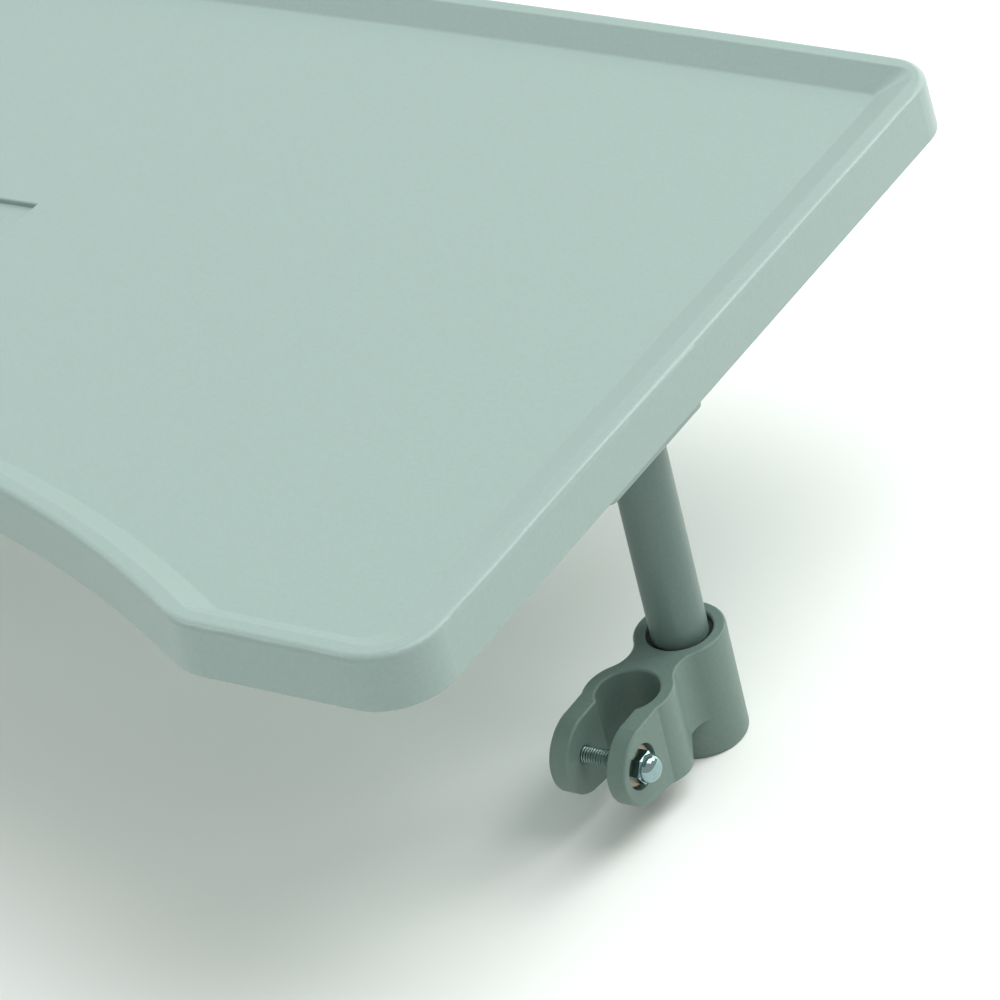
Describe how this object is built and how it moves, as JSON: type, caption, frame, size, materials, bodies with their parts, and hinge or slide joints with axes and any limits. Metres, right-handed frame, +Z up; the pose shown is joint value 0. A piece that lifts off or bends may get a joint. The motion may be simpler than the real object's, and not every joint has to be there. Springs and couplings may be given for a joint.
{
  "type": "clamp-on tray",
  "caption": "Shallow moulded tray with a raised rim and a concave bay, carried on round posts in swivelling bolted tube clamps.",
  "frame": {"origin": "centre of the bounding box, at the level of the clamps' undersides", "axes": "+X to the user's right along the tray's width, +Y away from the user, +Z up"},
  "size_m": [0.6716, 0.3596, 0.1595],
  "materials": {
    "tray_plastic": "moulded plastic, pale grey-green, fine grain",
    "clamp_plastic": "moulded plastic, mid grey-green, satin",
    "post_paint": "powder coat, dark grey-green, satin",
    "black_plastic": "black moulded plastic",
    "zinc_steel": "zinc-plated steel",
    "washer_steel": "zinc-plated steel, dull",
    "nut_chrome": "bright plated steel"
  },
  "bodies": {
    "tray": {"tray_shell": "tray_plastic", "right_post_bracket": "tray_plastic", "right_bracket_screws": "zinc_steel", "right_post": "post_paint", "right_post_screw": "zinc_steel", "right_post_plug": "black_plastic", "left_post_bracket": "tray_plastic", "left_bracket_screws": "zinc_steel", "left_post": "post_paint", "left_post_screw": "zinc_steel", "left_post_plug": "black_plastic"},
    "right_bush": {"right_socket_bush": "black_plastic"},
    "right_clamp": {"right_clamp": "clamp_plastic", "right_clamp_bolt": "zinc_steel", "right_bolt_washer": "washer_steel"},
    "right_nut": {"right_cap_nut": "nut_chrome"},
    "left_bush": {"left_socket_bush": "black_plastic"},
    "left_clamp": {"left_clamp": "clamp_plastic", "left_clamp_bolt": "zinc_steel", "left_bolt_washer": "washer_steel"},
    "left_nut": {"left_cap_nut": "nut_chrome"}
  },
  "joints": [
    {"name": "right_clamp_slide", "type": "slide", "parent": "tray", "child": "right_bush", "axis": [0, 0, -1], "range_m": [0, 0.034]},
    {"name": "right_clamp_swivel", "type": "hinge", "parent": "right_bush", "child": "right_clamp", "pos_m": [0.3077, -0.0103, 0.02], "axis": [0, 0, 1], "continuous": true},
    {"name": "right_nut_turn", "type": "hinge", "parent": "right_clamp", "child": "right_nut", "pos_m": [0.3257, -0.0653, 0.0303], "axis": [1, 0, 0], "continuous": true},
    {"name": "left_clamp_slide", "type": "slide", "parent": "tray", "child": "left_bush", "axis": [0, 0, -1], "range_m": [0, 0.034]},
    {"name": "left_clamp_swivel", "type": "hinge", "parent": "left_bush", "child": "left_clamp", "pos_m": [-0.3077, -0.0103, 0.02], "axis": [0, 0, 1], "continuous": true},
    {"name": "left_nut_turn", "type": "hinge", "parent": "left_clamp", "child": "left_nut", "pos_m": [-0.3257, -0.0653, 0.0303], "axis": [-1, 0, 0], "continuous": true}
  ]
}
